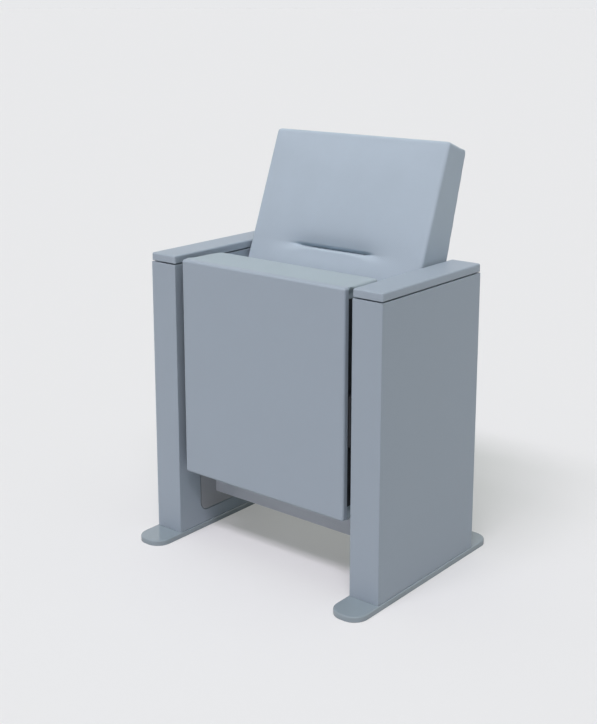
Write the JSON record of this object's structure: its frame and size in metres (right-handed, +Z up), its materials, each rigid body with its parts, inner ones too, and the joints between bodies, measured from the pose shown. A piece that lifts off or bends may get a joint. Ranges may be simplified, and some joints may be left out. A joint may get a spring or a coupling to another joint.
{
  "type": "tip up auditorium seat",
  "caption": "Floor standing auditorium seat with a sprung tip up seat and a tilting back between two slab sides on foot plates.",
  "frame": {"origin": "on the floor, midway between the sides and at the middle of the foot plates' length", "axes": "+X across, to the right as seen from the front; +Y from the front to the rear; +Z up"},
  "size_m": [0.626, 0.5, 0.9024],
  "materials": {
    "casing_board": "satin",
    "foot_steel": "satin",
    "coated_steel": "satin",
    "moulded_shell": "matte",
    "upholstery": "matte",
    "black_steel": "satin",
    "zinc_steel": "satin",
    "spring_steel": "satin",
    "nylon": "satin",
    "rubber_sleeve": "matte"
  },
  "bodies": {
    "frame": {"left_base_plate": "foot_steel", "right_base_plate": "foot_steel", "left_side_frame": "coated_steel", "right_side_frame": "coated_steel", "left_inner_board": "casing_board", "right_inner_board": "casing_board", "left_outer_board": "casing_board", "right_outer_board": "casing_board", "left_front_board": "casing_board", "right_front_board": "casing_board", "left_rear_board": "casing_board", "right_rear_board": "casing_board", "left_armrest_cap": "casing_board", "right_armrest_cap": "casing_board", "left_inner_cover": "coated_steel", "right_inner_cover": "coated_steel", "left_seat_bush": "nylon", "right_seat_bush": "nylon", "left_back_bush": "nylon", "right_back_bush": "nylon", "left_return_spring": "spring_steel", "right_return_spring": "spring_steel", "left_seat_stop_pin": "zinc_steel", "right_seat_stop_pin": "zinc_steel", "left_seat_stop_sleeve": "rubber_sleeve", "right_seat_stop_sleeve": "rubber_sleeve", "left_back_stop_pin": "zinc_steel", "right_back_stop_pin": "zinc_steel", "left_back_stop_sleeve": "rubber_sleeve", "right_back_stop_sleeve": "rubber_sleeve", "crossbar": "coated_steel", "crossbar_end_plates": "black_steel", "crossbar_bolts": "zinc_steel", "cap_screws": "zinc_steel", "casing_screws": "zinc_steel", "cover_nuts": "zinc_steel"},
    "seat": {"seat_underpanel": "moulded_shell", "seat_cushion": "upholstery", "seat_frame": "black_steel", "left_seat_hinge_plate": "black_steel", "right_seat_hinge_plate": "black_steel", "left_seat_pivot_pin": "zinc_steel", "right_seat_pivot_pin": "zinc_steel", "seat_hinge_screws": "zinc_steel", "seat_panel_screws": "zinc_steel"},
    "back": {"back_cushion": "upholstery", "back_frame": "black_steel", "back_rear_panel": "moulded_shell", "left_back_hinge_plate": "black_steel", "right_back_hinge_plate": "black_steel", "left_back_pivot_pin": "zinc_steel", "right_back_pivot_pin": "zinc_steel", "back_hinge_screws": "zinc_steel", "back_panel_screws": "zinc_steel"}
  },
  "joints": [
    {"name": "seat_tip", "type": "hinge", "parent": "frame", "child": "seat", "pos_m": [0, -0.1314, 0.357], "axis": [1, 0, 0], "range_deg": [0, 85], "stiffness_Nm_per_rad": 1.6, "springref_deg": -91.67, "deforming": ["left_return_spring", "right_return_spring"]},
    {"name": "back_tilt", "type": "hinge", "parent": "frame", "child": "back", "pos_m": [0, 0.04281, 0.48549], "axis": [1, 0, 0], "range_deg": [0, 18]}
  ]
}
